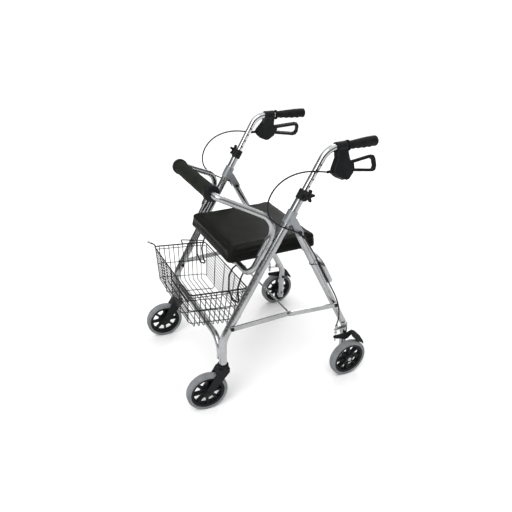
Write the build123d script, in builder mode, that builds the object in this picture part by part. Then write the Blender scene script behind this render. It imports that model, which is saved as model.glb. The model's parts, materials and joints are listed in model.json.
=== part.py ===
from build123d import *
import os
from math import cos, radians, sin, tan

# A folding four-wheeled walker with a seat, a wire basket and loop brakes.
# Millimetres. +Z is up, -Y is the direction of travel, +X is the user's left.
# The origin is on the ground, in the middle of the walker's length and width.

os.makedirs("parts", exist_ok=True)

# ---- driving dimensions ---------------------------------------------------
WHEEL_R = 75.0            # 150 mm wheels
TYRE_W = 26.0
RIM_R = 62.5              # where the tyre sits on the wheel centre
TREAD_ROUND = 6.0         # shoulder radius of the tyre
TRACK = 243.0             # half the distance between the two side frames
REAR_TRACK = 283.0        # half the distance between the rear wheels
STEM_Y = -223.0           # caster stems
TRAIL = 60.0              # caster trail
CASTER_YAW = -3.0         # both casters rest turned a little to the same side

UPRIGHT_D = 28.0
UPRIGHT_WALL = 2.0
LEAN = 29.6               # the uprights lean back by this many degrees
KNEE_Z = 280.6            # where an upright bends down to its stem
STEM_BOTTOM_Z = 182.0
UPRIGHT_TOP = 567.0       # distances along an upright are measured from its knee

HANDLE_D = 22.0
HANDLE_BOTTOM = 340.0
HOLE_PITCH = 25.0         # height holes of the handle tubes
HOLES_BELOW, HOLES_ABOVE = 2, 4
BOLT_AT = 560.0           # the height bolt
GRIP_AXIS_Z = 900.0
GRIP_END_Y = 328.0
TOE_IN = 6.0              # degrees that each grip turns inwards

LEG_D = 25.0
LEG_LEAN = 28.7
PIVOT_Y, PIVOT_Z = 43.0, 637.0
LEG_BOTTOM_Z = 52.0

TUBE_D = 22.0             # seat support, backrest and cross tubes
TUBE_WALL = 1.8
SOCKET_OFFSET = 27.5      # backrest sockets stand this far in front of the uprights

SEAT_X, SEAT_FRONT, SEAT_BACK = 180.0, -178.0, 170.0
SEAT_BOTTOM, SEAT_TOP = 524.0, 577.0
BOARD_BOTTOM, BOARD_TOP = 522.0, 532.0
SEAT_HINGE_Z = 508.0      # the cross part of the seat support tube

FOAM_Y, FOAM_Z, FOAM_D, FOAM_L = -219.0, 773.0, 50.0, 306.0

BRACE_FRONT = (-196.0, 328.0)     # y, z of the folding brace's three pivots
BRACE_MIDDLE = (23.0, 334.0)
BRACE_REAR = (216.4, 320.0)

CABLE_D = 5.0
BOLT_R = 4.0
GAP = 0.3                 # running clearance between bodies

# ---- directions and places that follow from them --------------------------
UP = Vector(0, sin(radians(LEAN)), cos(radians(LEAN)))
AHEAD = Vector(0, -cos(radians(LEAN)), sin(radians(LEAN)))
DOWN = Vector(0, sin(radians(LEG_LEAN)), -cos(radians(LEG_LEAN)))
BEHIND = Vector(0, cos(radians(LEG_LEAN)), sin(radians(LEG_LEAN)))
KNEE = Vector(TRACK, STEM_Y, KNEE_Z)
PIVOT = Vector(TRACK, PIVOT_Y, PIVOT_Z)
X_DIR = Vector(1, 0, 0)


def on_upright(s, ahead=0.0, x=0.0):
    """A point s above the knee, ahead of the left upright's axis."""
    return KNEE + UP * s + AHEAD * ahead + Vector(x, 0, 0)


def on_leg(t, behind=0.0, x=0.0):
    """A point t below the pivot, behind the left rear leg's axis."""
    return PIVOT + DOWN * t + BEHIND * behind + Vector(x, 0, 0)


def across(x, y=0.0, z=0.0):
    """A plane square to X, whose sketches are drawn in Y and Z."""
    return Plane(origin=(x, y, z), x_dir=(0, 1, 0), z_dir=(1, 0, 0))


yaw = radians(CASTER_YAW)
CASTER_AHEAD = Vector(sin(yaw), -cos(yaw), 0)
CASTER_AXLE = Vector(cos(yaw), sin(yaw), 0)
front_reach = (WHEEL_R - TREAD_ROUND) * cos(yaw) + (TYRE_W / 2 - TREAD_ROUND) * abs(sin(yaw)) + TREAD_ROUND
REAR_AXLE_Y = -(STEM_Y - TRAIL * cos(yaw) - front_reach) - WHEEL_R
HINGE_AT = (SEAT_HINGE_Z - KNEE_Z - SOCKET_OFFSET * AHEAD.Z) / UP.Z
SEAT_HINGE_Y = on_upright(HINGE_AT, SOCKET_OFFSET).Y
LEG_BEND = (REAR_AXLE_Y - PIVOT_Y) / sin(radians(LEG_LEAN))


def save(part, name):
    part.label = name
    export_step(part, f"parts/{name}.step")


def save_pair(part, name):
    """Write a left piece and its mirror image."""
    save(part, f"left_{name}")
    save(mirror(part, about=Plane.YZ), f"right_{name}")


def both(part):
    """One node of two solids: the left piece and its mirror image."""
    return Compound(children=[part, mirror(part, about=Plane.YZ)])


def tube(points, radius, outer_d, wall):
    """A round tube along straight runs and tangent arcs."""
    with BuildPart() as piece:
        with BuildLine() as path:
            if len(points) == 2:
                Line(*points)
            else:
                FilletPolyline(*points, radius=radius)
        with BuildSketch(Plane(origin=path.line @ 0, z_dir=path.line % 0)):
            Circle(outer_d / 2)
            if wall:
                Circle(outer_d / 2 - wall, mode=Mode.SUBTRACT)
        sweep()
    return piece.part


def cross_holes(part, places, radius, length=60.0):
    """Drill holes along X through a part, at the points given."""
    with BuildPart() as piece:
        add(part)
        for place in places:
            with BuildSketch(across(place.X, place.Y, place.Z)):
                Circle(radius)
            extrude(amount=length / 2, both=True, mode=Mode.SUBTRACT)
    return piece.part


def cross_bolt(place, x_from, x_to, radius=BOLT_R, head_r=7.0, head=3.5, nut_r=6.5, nut=5.0):
    """A bolt along X: a domed head at its outer end and a nut at its inner end."""
    with BuildPart() as piece:
        with BuildSketch(across(x_from - nut, place.Y, place.Z)):
            Circle(radius)
        extrude(amount=x_to - x_from + nut + head / 2)
        with BuildSketch(across(x_to, place.Y, place.Z)):
            Circle(head_r)
        extrude(amount=head)
        fillet(piece.edges().sort_by(Axis.X)[-1], head * 0.6)
        if nut:
            with BuildSketch(across(x_from - nut, place.Y, place.Z)):
                RegularPolygon(nut_r, 6)
            extrude(amount=nut)
    return piece.part


# ---- wheels ----------------------------------------------------------------
HUB_R, HUB_W = 17.0, 28.8
WEB_W, RIB_W, SPOKE_W = 9.0, 17.0, 8.5
RIM_INNER_R, RIM_W = 53.0, 22.0
AXLE_R = 4.0
SPOKES = 8


def wheel_section(centre, axle):
    """A plane through the axle, with local X along the axle and local Y upwards."""
    return Plane(origin=centre, x_dir=axle, z_dir=axle.cross(Vector(0, 0, 1)))


def make_tyre(centre, axle):
    with BuildPart() as tyre:
        with BuildSketch(wheel_section(centre, axle)) as section:
            with Locations((0, (WHEEL_R + RIM_R) / 2)):
                Rectangle(TYRE_W, WHEEL_R - RIM_R)
            fillet(section.vertices().group_by(Axis.Y)[-1], TREAD_ROUND)
        revolve(axis=Axis(centre, axle))
    return tyre.part


def make_wheel_centre(centre, axle):
    side = Plane(origin=centre, x_dir=(0, 0, 1), z_dir=axle)
    with BuildPart() as rim:
        with BuildSketch(wheel_section(centre, axle)):
            with Locations((0, (HUB_R + AXLE_R) / 2)):
                Rectangle(HUB_W, HUB_R - AXLE_R)
            with Locations((0, (RIM_INNER_R + HUB_R) / 2)):
                Rectangle(WEB_W, RIM_INNER_R - HUB_R + 4)
            with Locations((0, (RIM_R + RIM_INNER_R) / 2)):
                Rectangle(RIM_W, RIM_R - RIM_INNER_R)
        revolve(axis=Axis(centre, axle))
        with BuildSketch(side):
            with PolarLocations((RIM_INNER_R + HUB_R) / 2, SPOKES):
                Rectangle(RIM_INNER_R - HUB_R + 4, SPOKE_W * 0.7)
        extrude(amount=RIB_W / 2, both=True)
        # windows between the spokes, wider towards the rim
        inner_r, outer_r = HUB_R + 10, RIM_INNER_R - 2
        inner_half = inner_r * tan(radians(180 / SPOKES)) - SPOKE_W / 2
        outer_half = outer_r * tan(radians(180 / SPOKES)) - SPOKE_W / 2 - 1
        with BuildSketch(side):
            with PolarLocations(0, SPOKES, start_angle=180 / SPOKES):
                Polygon((inner_r, -inner_half), (outer_r - 4, -outer_half), (outer_r, 0),
                        (outer_r - 4, outer_half), (inner_r, inner_half), align=None)
        extrude(amount=WEB_W, both=True, mode=Mode.SUBTRACT)
    return rim.part


casters = {}
for hand, sign in (("left", 1), ("right", -1)):
    stem = Vector(sign * TRACK, STEM_Y, 0)
    centre = stem + CASTER_AHEAD * TRAIL + Vector(0, 0, WHEEL_R)
    casters[hand] = (stem, centre)
    save(make_tyre(centre, CASTER_AXLE), f"front_{hand}_tyre")
    save(make_wheel_centre(centre, CASTER_AXLE), f"front_{hand}_wheel_centre")
    rear = Vector(sign * REAR_TRACK, REAR_AXLE_Y, WHEEL_R)
    save(make_tyre(rear, X_DIR), f"rear_{hand}_tyre")
    save(make_wheel_centre(rear, X_DIR), f"rear_{hand}_wheel_centre")

# ---- caster forks ------------------------------------------------------------
FORK_GAP, FORK_CHEEK = 15.3, 4.2      # half the space between the legs; leg thickness
CUP_R, CUP_TOP, CROWN_TOP, CROWN_BOTTOM = 20.0, 179.0, 168.0, 151.0
STEM_PIN_R, STEM_PIN_TOP = 11.6, 236.0

for hand, (stem, centre) in casters.items():
    # a plane square to the axle, local X ahead and local Y up, at ground level under the stem
    flat = Plane(origin=stem, x_dir=CASTER_AHEAD, z_dir=CASTER_AHEAD.cross(Vector(0, 0, 1)))
    with BuildPart() as fork:
        with BuildSketch(flat):
            with Locations((TRAIL, WHEEL_R)):
                Circle(13)
            with Locations((0, (CROWN_TOP + CROWN_BOTTOM) / 2)):
                Rectangle(38, CROWN_TOP - CROWN_BOTTOM)
            make_hull()
        extrude(amount=FORK_GAP + FORK_CHEEK, both=True)
        with BuildSketch(flat):
            with Locations((TRAIL, CROWN_BOTTOM / 2 - 10)):
                Rectangle(4 * TRAIL, CROWN_BOTTOM + 20)
        extrude(amount=FORK_GAP, both=True, mode=Mode.SUBTRACT)
        with BuildSketch(Plane(origin=stem + Vector(0, 0, CROWN_BOTTOM))):
            Circle(CUP_R)
        extrude(amount=CUP_TOP - CROWN_BOTTOM)
        fillet(fork.edges().filter_by(GeomType.CIRCLE).group_by(Axis.Z)[-1], 2.5)
        with BuildSketch(Plane(origin=stem + Vector(0, 0, CUP_TOP - 3))):
            Circle(STEM_PIN_R)
        extrude(amount=STEM_PIN_TOP - CUP_TOP + 3)
        with BuildSketch(Plane(origin=centre, x_dir=(0, 0, 1), z_dir=CASTER_AXLE)):
            Circle(AXLE_R + 0.1)
        extrude(amount=40, both=True, mode=Mode.SUBTRACT)
    save(fork.part, f"{hand}_caster_fork")

    with BuildPart() as axle:
        with BuildSketch(Plane(origin=centre, x_dir=(0, 0, 1), z_dir=CASTER_AXLE)):
            Circle(AXLE_R - 0.05)
        extrude(amount=FORK_GAP + FORK_CHEEK + 1, both=True)
        for end in (-1, 1):
            face = centre + CASTER_AXLE * end * (FORK_GAP + FORK_CHEEK + 0.1)
            with BuildSketch(Plane(origin=face, x_dir=(0, 0, 1), z_dir=CASTER_AXLE * end)):
                Circle(7) if end > 0 else RegularPolygon(7, 6)
            extrude(amount=2.3)
    save(axle.part, f"{hand}_caster_axle")

# ---- front frame ------------------------------------------------------------
brace_f = Vector(TRACK, *BRACE_FRONT)
upright = tube(
    [(TRACK, STEM_Y, STEM_BOTTOM_Z), KNEE, on_upright(UPRIGHT_TOP)], 110.0, UPRIGHT_D, UPRIGHT_WALL)
upright = cross_holes(upright, [brace_f], BOLT_R + 0.1)
upright = cross_holes(upright, [on_upright(BOLT_AT)], 3.2)
save_pair(upright, "upright")

# the cross tube under the basket stands beside the stems and is welded to them
CROSS_X = TRACK - UPRIGHT_D / 2 - TUBE_D / 2 - 0.2
CROSS_Z, CROSS_BOTTOM_Z = 262.0, 187.0
front_cross = tube(
    [(CROSS_X, STEM_Y, CROSS_BOTTOM_Z), (CROSS_X, STEM_Y, CROSS_Z),
     (-CROSS_X, STEM_Y, CROSS_Z), (-CROSS_X, STEM_Y, CROSS_BOTTOM_Z)], 58.0, TUBE_D, TUBE_WALL)
save(front_cross, "front_cross_tube")

# sockets on the front of the uprights take the backrest from above and the seat support from below
SOCKET_LOW, SOCKET_HIGH = 312.0, 382.0
SOCKET_X = TRACK - 3.0
SOCKET_R = 13.0


def on_socket(s, x=0.0):
    return on_upright(s, SOCKET_OFFSET, SOCKET_X - TRACK + x)


BUTTON_AT = 352.0
socket = tube([on_socket(SOCKET_LOW), on_socket(SOCKET_HIGH)], None, 2 * SOCKET_R, SOCKET_R - TUBE_D / 2 - 0.1)
with BuildPart() as socket_pair:
    add(cross_holes(socket, [on_socket(BUTTON_AT, SOCKET_R)], 4.4, 10))
    # a welded rib joins the sleeve to the upright
    with BuildSketch(Plane(origin=on_socket(SOCKET_LOW + 6), x_dir=(1, 0, 0), z_dir=UP)):
        with Locations((1.5, -(SOCKET_OFFSET + SOCKET_R - UPRIGHT_D / 2) / 2)):
            Rectangle(9, 4)
    extrude(amount=SOCKET_HIGH - SOCKET_LOW - 12)
    with BuildSketch(Plane(origin=on_upright(SOCKET_LOW), x_dir=(1, 0, 0), z_dir=UP)):
        Circle(UPRIGHT_D / 2 + 0.1)
    extrude(amount=SOCKET_HIGH - SOCKET_LOW, mode=Mode.SUBTRACT)
    with BuildSketch(Plane(origin=on_socket(SOCKET_LOW), x_dir=(1, 0, 0), z_dir=UP)):
        Circle(TUBE_D / 2 + 0.1)
    extrude(amount=SOCKET_HIGH - SOCKET_LOW, mode=Mode.SUBTRACT)
save(both(socket_pair.part), "backrest_sockets")

seat_corner = on_socket(HINGE_AT)
seat_support = tube(
    [on_socket(SOCKET_LOW + 15), seat_corner, Vector(-seat_corner.X, seat_corner.Y, seat_corner.Z),
     Vector(-SOCKET_X, on_socket(SOCKET_LOW + 15).Y, on_socket(SOCKET_LOW + 15).Z)],
    38.0, TUBE_D, TUBE_WALL)

# the backrest: two arms that reach forward and a padded cross part
ELBOW = on_socket(446.0)
BACK_X = 182.0
backrest_path = [
    on_socket(SOCKET_LOW + 17), ELBOW, Vector(BACK_X, FOAM_Y, FOAM_Z),
    Vector(-BACK_X, FOAM_Y, FOAM_Z), Vector(-ELBOW.X, ELBOW.Y, ELBOW.Z),
    Vector(-SOCKET_X, on_socket(SOCKET_LOW + 17).Y, on_socket(SOCKET_LOW + 17).Z)]
backrest = tube(backrest_path, [58.0, 28.0, 28.0, 58.0], TUBE_D, TUBE_WALL)
button_hole = on_socket(BUTTON_AT, SOCKET_R)
button_holes = [button_hole, Vector(-button_hole.X, button_hole.Y, button_hole.Z)]
save(cross_holes(backrest, button_holes, 4.4, 12), "backrest_tube")

with BuildPart() as foam:
    with BuildSketch(Plane(origin=(-FOAM_L / 2, FOAM_Y, FOAM_Z), x_dir=(0, 1, 0), z_dir=(1, 0, 0))):
        Circle(FOAM_D / 2)
    extrude(amount=FOAM_L)
    fillet(foam.edges(), 6)
    with BuildSketch(Plane(origin=(-FOAM_L / 2, FOAM_Y, FOAM_Z), x_dir=(0, 1, 0), z_dir=(1, 0, 0))):
        Circle(TUBE_D / 2 + 0.1)
    extrude(amount=FOAM_L, mode=Mode.SUBTRACT)
save(foam.part, "backrest_foam")

# sprung buttons that lock the backrest tube in its sockets
button_place = on_socket(BUTTON_AT)
with BuildPart() as button:
    with BuildSketch(across(SOCKET_X + 2, button_place.Y, button_place.Z)):
        Circle(4.0)
    extrude(amount=SOCKET_R + 1.5)
    fillet(button.edges().group_by(Axis.X)[-1], 2.6)
save_pair(button.part, "snap_button")

# cast brackets: a sleeve on the upright and two cheeks that carry the rear-leg pivot
SLEEVE_LOW, SLEEVE_HIGH, SLEEVE_R = 452.0, 496.0, 17.6
CHEEK_IN, CHEEK_OUT, LUG_R = 12.9, 16.4, 13.0
CHEEK_REACH = 50.0        # from the pivot up towards the sleeve, in line with the rear leg
with BuildPart() as y_bracket:
    with BuildSketch(Plane(origin=on_upright(SLEEVE_LOW), x_dir=(1, 0, 0), z_dir=UP)):
        Circle(SLEEVE_R)
    extrude(amount=SLEEVE_HIGH - SLEEVE_LOW)
    for x_in in (-CHEEK_OUT, CHEEK_IN):
        with BuildSketch(Plane(origin=PIVOT + X_DIR * x_in, x_dir=UP, z_dir=X_DIR)):
            Circle(LUG_R)
            with Locations((-DOWN.dot(UP) * CHEEK_REACH, -DOWN.dot(AHEAD) * CHEEK_REACH)):
                Circle(LUG_R - 1)
            make_hull()
        extrude(amount=CHEEK_OUT - CHEEK_IN)
    with BuildSketch(Plane(origin=on_upright(SLEEVE_LOW - 20), x_dir=(1, 0, 0), z_dir=UP)):
        Circle(UPRIGHT_D / 2 + 0.1)
    extrude(amount=SLEEVE_HIGH - SLEEVE_LOW + 40, mode=Mode.SUBTRACT)
    with BuildSketch(across(TRACK - 30, PIVOT_Y, PIVOT_Z)):
        Circle(BOLT_R + 0.1)
    extrude(amount=60, mode=Mode.SUBTRACT)
save(both(y_bracket.part), "y_brackets")

# black collars that close the tops of the uprights
COLLAR_LOW, COLLAR_HIGH, COLLAR_R = 537.0, 570.0, 17.0
with BuildPart() as collar:
    with BuildSketch(Plane(origin=on_upright(COLLAR_LOW), x_dir=(1, 0, 0), z_dir=UP)):
        Circle(COLLAR_R)
    extrude(amount=COLLAR_HIGH - COLLAR_LOW)
    fillet(collar.edges(), 2)
    with BuildSketch(across(TRACK, on_upright(BOLT_AT).Y, on_upright(BOLT_AT).Z)):
        Circle(8.5)
    extrude(amount=COLLAR_R + 2)
    with BuildSketch(Plane(origin=on_upright(COLLAR_LOW), x_dir=(1, 0, 0), z_dir=UP)):
        Circle(UPRIGHT_D / 2 + 0.1)
    extrude(amount=UPRIGHT_TOP - COLLAR_LOW + 0.1, mode=Mode.SUBTRACT)
    with BuildSketch(Plane(origin=on_upright(UPRIGHT_TOP), x_dir=(1, 0, 0), z_dir=UP)):
        Circle(HANDLE_D / 2 + GAP)
    extrude(amount=COLLAR_HIGH - UPRIGHT_TOP, mode=Mode.SUBTRACT)
    with BuildSketch(across(TRACK - 30, on_upright(BOLT_AT).Y, on_upright(BOLT_AT).Z)):
        Circle(3.2)
    extrude(amount=60, mode=Mode.SUBTRACT)
save(both(collar.part), "height_collars")

height_bolt = cross_bolt(on_upright(BOLT_AT), TRACK - COLLAR_R - 0.2, TRACK + 38, 3.0, 5.0, 1.5, 6.0, 4.5)
save(both(height_bolt), "height_bolts")

KNOB_IN, KNOB_OUT = TRACK + COLLAR_R + 2.4, TRACK + 37.5
with BuildPart() as knob:
    with BuildSketch(across(KNOB_IN, on_upright(BOLT_AT).Y, on_upright(BOLT_AT).Z)):
        Circle(8)
    extrude(amount=KNOB_OUT - KNOB_IN)
    with BuildSketch(across(KNOB_OUT - 10, on_upright(BOLT_AT).Y, on_upright(BOLT_AT).Z)):
        Circle(10)
        with PolarLocations(12, 5):
            SlotOverall(18, 9)
    extrude(amount=10)
    fillet(knob.edges().group_by(Axis.X)[-1], 1.8)
    with BuildSketch(across(KNOB_IN, on_upright(BOLT_AT).Y, on_upright(BOLT_AT).Z)):
        Circle(3.05)
    extrude(amount=40, mode=Mode.SUBTRACT)
save_pair(knob.part, "height_knob")

# ---- handles ------------------------------------------------------------------
CORNER = on_upright((GRIP_AXIS_Z - KNEE_Z) / UP.Z)
ALONG = Vector(-sin(radians(TOE_IN)), cos(radians(TOE_IN)), 0)   # grip direction, towards its end


def on_grip(distance_y):
    """The grip axis at a given Y."""
    return CORNER + ALONG * ((distance_y - CORNER.Y) / ALONG.Y)


handle = tube([on_upright(HANDLE_BOTTOM), CORNER, on_grip(GRIP_END_Y - 6)], 56.0, HANDLE_D, 1.8)
handle = cross_holes(
    handle, [on_upright(BOLT_AT + HOLE_PITCH * k) for k in range(-HOLES_BELOW, HOLES_ABOVE + 1)], 3.5)
save_pair(handle, "handle_tube")

GRIP_START_Y, GRIP_R, GRIP_FLANGE_R = 203.5, 15.5, 18.5
grip_l = (on_grip(GRIP_END_Y) - on_grip(GRIP_START_Y)).length
with BuildPart() as grip:
    lying = Plane(origin=on_grip(GRIP_START_Y), x_dir=(0, 0, 1), z_dir=ALONG)
    with BuildSketch(Plane(origin=on_grip(GRIP_START_Y), x_dir=ALONG, z_dir=ALONG.cross(Vector(0, 0, 1)))):
        with BuildLine():
            Polyline((0, 0), (0, GRIP_FLANGE_R), (5, GRIP_FLANGE_R), (9, GRIP_R - 1.5), (grip_l * 0.5, GRIP_R + 0.5),
                     (grip_l - 4, GRIP_R), (grip_l, GRIP_R - 4), (grip_l, 0), close=True)
        make_face()
    revolve(axis=Axis(on_grip(GRIP_START_Y), ALONG))
    # finger rests below
    for k in range(4):
        rest = on_grip(GRIP_START_Y) + ALONG * (22 + 26 * k) - Vector(0, 0, 3.2)
        with BuildSketch(Plane(origin=rest - ALONG * 5, x_dir=(0, 0, 1), z_dir=ALONG)):
            Circle(GRIP_R - 0.8)
        extrude(amount=10)
    with BuildSketch(lying):
        Circle(HANDLE_D / 2 + 0.1)
    extrude(amount=grip_l - 5, mode=Mode.SUBTRACT)
save_pair(grip.part, "hand_grip")

# brake housing: a teardrop body clamped on the handle tube and tilted outwards
HOUSING_Y, HOUSING_TILT = 182.0, 18.0
tilt = radians(HOUSING_TILT)
hang = Vector(sin(tilt), 0, -cos(tilt))
hang = (hang - ALONG * hang.dot(ALONG)).normalized()
BRAKE_AXIS = hang.cross(ALONG)                 # points outwards and a little up
brake = Plane(origin=on_grip(HOUSING_Y), x_dir=ALONG, z_dir=BRAKE_AXIS)
PLATE, SLOT = 13.0, 8.4                         # half thickness of the body and of the lever's slot
LEVER_PIN = (2.0, -66.0)
PIN_R = 3.0
outline = [(-19, 8), (-22, -30), (-41, -60), (-47, -75), (-28, -92), (0, -105),
           (10, -104), (30, -87), (33, -77), (22, -36), (18, 8)]
with BuildPart() as housing:
    with BuildSketch(brake) as face:
        with BuildLine():
            Polyline(*outline, close=True)
        make_face()
        fillet(face.vertices(), 5)
    extrude(amount=PLATE, both=True)
    chamfer(housing.faces().filter_by(GeomType.PLANE).group_by(SortBy.AREA)[-1].edges(), 2)
    # clamp round the tube
    with BuildSketch(Plane(origin=on_grip(HOUSING_Y) - ALONG * 20, x_dir=(0, 0, 1), z_dir=ALONG)):
        Circle(16.5)
    extrude(amount=37.5)
    with BuildSketch(Plane(origin=on_grip(HOUSING_Y) - ALONG * 40, x_dir=(0, 0, 1), z_dir=ALONG)):
        Circle(HANDLE_D / 2 + 0.1)
    extrude(amount=80, mode=Mode.SUBTRACT)
    # slot for the lever, open behind and below
    with BuildSketch(brake):
        with Locations((17, -76)):
            Rectangle(58, 70)
    extrude(amount=SLOT, both=True, mode=Mode.SUBTRACT)
    with BuildSketch(brake):
        with Locations(LEVER_PIN):
            Circle(PIN_R + 0.05)
    extrude(amount=PLATE + 1, both=True, mode=Mode.SUBTRACT)
    # cable adjuster at the front
    with BuildSketch(Plane(origin=brake.from_local_coords((-40, -70, 0)), x_dir=BRAKE_AXIS, z_dir=-ALONG)):
        Circle(4.6)
    extrude(amount=24)
save_pair(housing.part, "brake_housing")

with BuildPart() as cam:
    with BuildSketch(brake):
        with Locations(LEVER_PIN):
            Circle(9.5)
    extrude(amount=2.6, both=True)
    with BuildSketch(brake):
        with Locations(LEVER_PIN):
            Circle(PIN_R)
    extrude(amount=PLATE, both=True)
save_pair(cam.part, "parking_cam")

LEVER_HALF = 7.0
with BuildPart() as lever:
    with BuildSketch(brake) as loop:
        with BuildLine():
            Polyline((-4, -57), (34, -48), (116, -41), (129, -45), (134, -56), (135, -80), (129, -93),
                     (116, -96), (36, -83), (-4, -76), close=True)
        make_face()
        fillet(loop.vertices(), 5)
        with BuildLine() as gap:
            Polyline((42, -57), (114, -51), (123, -57), (125, -78), (120, -85), (112, -86), (42, -74), close=True)
        make_face(mode=Mode.SUBTRACT)
        # finger grooves on both edges of the lower bar
        for k in range(3):
            with Locations((58 + 18 * k, -99 - 2.6 * k)):
                Circle(11, mode=Mode.SUBTRACT)
            with Locations((49 + 18 * k, -69.5 - 2.6 * k)):
                Circle(7, mode=Mode.SUBTRACT)
    extrude(amount=LEVER_HALF, both=True)
    chamfer(lever.faces().filter_by(GeomType.PLANE).group_by(SortBy.AREA)[-1].edges(), 1.2)
    with BuildSketch(brake):
        with Locations(LEVER_PIN):
            Circle(11)
    extrude(amount=2.6 + GAP, both=True, mode=Mode.SUBTRACT)
    with BuildSketch(brake):
        with Locations(LEVER_PIN):
            Circle(PIN_R + 0.06)
    extrude(amount=LEVER_HALF + 1, both=True, mode=Mode.SUBTRACT)
save_pair(lever.part, "loop_lever")

# ---- rear frame ------------------------------------------------------------------
brace_r = Vector(TRACK, *BRACE_REAR)
rear_axle = Vector(TRACK, REAR_AXLE_Y, WHEEL_R)
ARM_PIVOT = Vector(TRACK, REAR_AXLE_Y, 162.0)
leg = tube([on_leg(-14), on_leg(LEG_BEND), (TRACK, REAR_AXLE_Y, LEG_BOTTOM_Z)], 60.0, LEG_D, 2.0)
leg = cross_holes(leg, [PIVOT], BOLT_R + 0.06)
leg = cross_holes(leg, [brace_r, ARM_PIVOT, rear_axle], BOLT_R + 0.1)
save_pair(leg, "rear_leg")

# U-shaped cross tube on the back of the rear legs, just under the seat
BEHIND_LEG = LEG_D / 2 + TUBE_D / 2 + 0.2
U_TOP, U_LOW = 157.0, 264.0
u_corner, u_end = on_leg(U_TOP, BEHIND_LEG), on_leg(U_LOW, BEHIND_LEG)
rear_cross = tube(
    [u_end, u_corner, Vector(-u_corner.X, u_corner.Y, u_corner.Z), Vector(-u_end.X, u_end.Y, u_end.Z)],
    40.0, TUBE_D, TUBE_WALL)
save(rear_cross, "rear_cross_tube")

with BuildPart() as rear_axles:
    with BuildSketch(across(TRACK - 19, rear_axle.Y, rear_axle.Z)):
        Circle(AXLE_R - 0.05)
    extrude(amount=REAR_TRACK + HUB_W / 2 + 1 - TRACK + 19)
    with BuildSketch(across(TRACK - 19, rear_axle.Y, rear_axle.Z)):
        RegularPolygon(7, 6)
    extrude(amount=5.5)
    with BuildSketch(across(TRACK + LEG_D / 2 + 0.2, rear_axle.Y, rear_axle.Z)):
        Circle(8)
    extrude(amount=REAR_TRACK - HUB_W / 2 - GAP - TRACK - LEG_D / 2 - 0.2)
    with BuildSketch(across(REAR_TRACK + HUB_W / 2 + GAP, rear_axle.Y, rear_axle.Z)):
        Circle(8)
    extrude(amount=2.3)
save(both(rear_axles.part), "rear_axles")

# ---- folding braces --------------------------------------------------------------
BAR_T, BAR_R = 4.0, 9.0
FRONT_BAR_X = TRACK + UPRIGHT_D / 2 + 1.6
REAR_BAR_X = FRONT_BAR_X + BAR_T + 0.6


def brace_bar(x, start, end, hole):
    """A flat bar with rounded ends and a hole at its start."""
    with BuildPart() as bar:
        with BuildSketch(across(x)):
            with Locations(start, end):
                Circle(BAR_R)
            make_hull()
        extrude(amount=BAR_T)
        with BuildSketch(across(x)):
            with Locations(start):
                Circle(hole)
        extrude(amount=BAR_T, mode=Mode.SUBTRACT)
    return bar.part


def half_rivet(x, height):
    """One half of the middle pivot, on the face of its own bar."""
    with BuildPart() as rivet:
        with BuildSketch(across(x, *BRACE_MIDDLE)):
            Circle(6.5)
        extrude(amount=height)
        fillet(rivet.edges().group_by(Axis.X)[-1 if height > 0 else 0], 1.5)
    return rivet.part


with BuildPart() as front_bar:
    add(brace_bar(FRONT_BAR_X, BRACE_FRONT, BRACE_MIDDLE, BOLT_R + 0.06))
    add(half_rivet(FRONT_BAR_X, -3.0))
save(both(front_bar.part), "front_brace_bars")

ROD_R = 3.5
with BuildPart() as rod:
    with BuildSketch(across(-FRONT_BAR_X + 3.1, *BRACE_MIDDLE)):
        Circle(ROD_R)
    extrude(amount=2 * FRONT_BAR_X - 6.2)
save(rod.part, "brace_cross_rod")

with BuildPart() as rear_bar:
    add(brace_bar(REAR_BAR_X, BRACE_REAR, BRACE_MIDDLE, BOLT_R + 0.06))
    add(half_rivet(REAR_BAR_X + BAR_T, 3.0))
save(both(rear_bar.part), "rear_brace_bars")

# bolts of the front frame: rear-leg pivots and front brace pivots
pivot_bolt = cross_bolt(PIVOT, TRACK - CHEEK_OUT - 0.1, TRACK + CHEEK_OUT + 0.1)
front_brace_bolt = cross_bolt(brace_f, TRACK - UPRIGHT_D / 2 - 0.1, FRONT_BAR_X + BAR_T + 0.1, head=3.0)
front_bolts = [pivot_bolt, front_brace_bolt]
save(Compound(children=[c for b in front_bolts for c in (b, mirror(b, about=Plane.YZ))]), "front_frame_bolts")

# bolts of the rear frame: brace pivots with their spacers, and brake arm pivots
BUSH_X, BUSH_L, BUSH_R = TRACK + LEG_D / 2 + 0.5, 9.4, 7.5
rear_brace_bolt = cross_bolt(brace_r, TRACK - LEG_D / 2 - 0.1, REAR_BAR_X + BAR_T + 0.1, head=3.0)
with BuildPart() as spacer:
    with BuildSketch(across(TRACK + LEG_D / 2 + 0.1, brace_r.Y, brace_r.Z)):
        Circle(8)
        Circle(BOLT_R + 0.1, mode=Mode.SUBTRACT)
    extrude(amount=REAR_BAR_X - TRACK - LEG_D / 2 - 0.4)
arm_bolt = cross_bolt(ARM_PIVOT, TRACK - LEG_D / 2 - 0.1, BUSH_X + BUSH_L + 0.3, BOLT_R, 7.0, 2.0)
rear_bolts = [rear_brace_bolt, spacer.part, arm_bolt]
save(Compound(children=[c for b in rear_bolts for c in (b, mirror(b, about=Plane.YZ))]), "rear_frame_bolts")

# ---- rear brakes -----------------------------------------------------------------
with BuildPart() as bush:
    with BuildSketch(across(BUSH_X, ARM_PIVOT.Y, ARM_PIVOT.Z)):
        Circle(BUSH_R)
        Circle(BOLT_R + 0.06, mode=Mode.SUBTRACT)
    extrude(amount=BUSH_L)
save_pair(bush.part, "brake_bush")

ARM_X, ARM_T = BUSH_X + 3.4, 5.5
WIRE_X, WIRE_Y = ARM_X + ARM_T / 2, 230.0
ARM_TIP = (WIRE_Y, 172.0)
SHOE_GAP = 3.8
SHOE_R = WHEEL_R + SHOE_GAP


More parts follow.
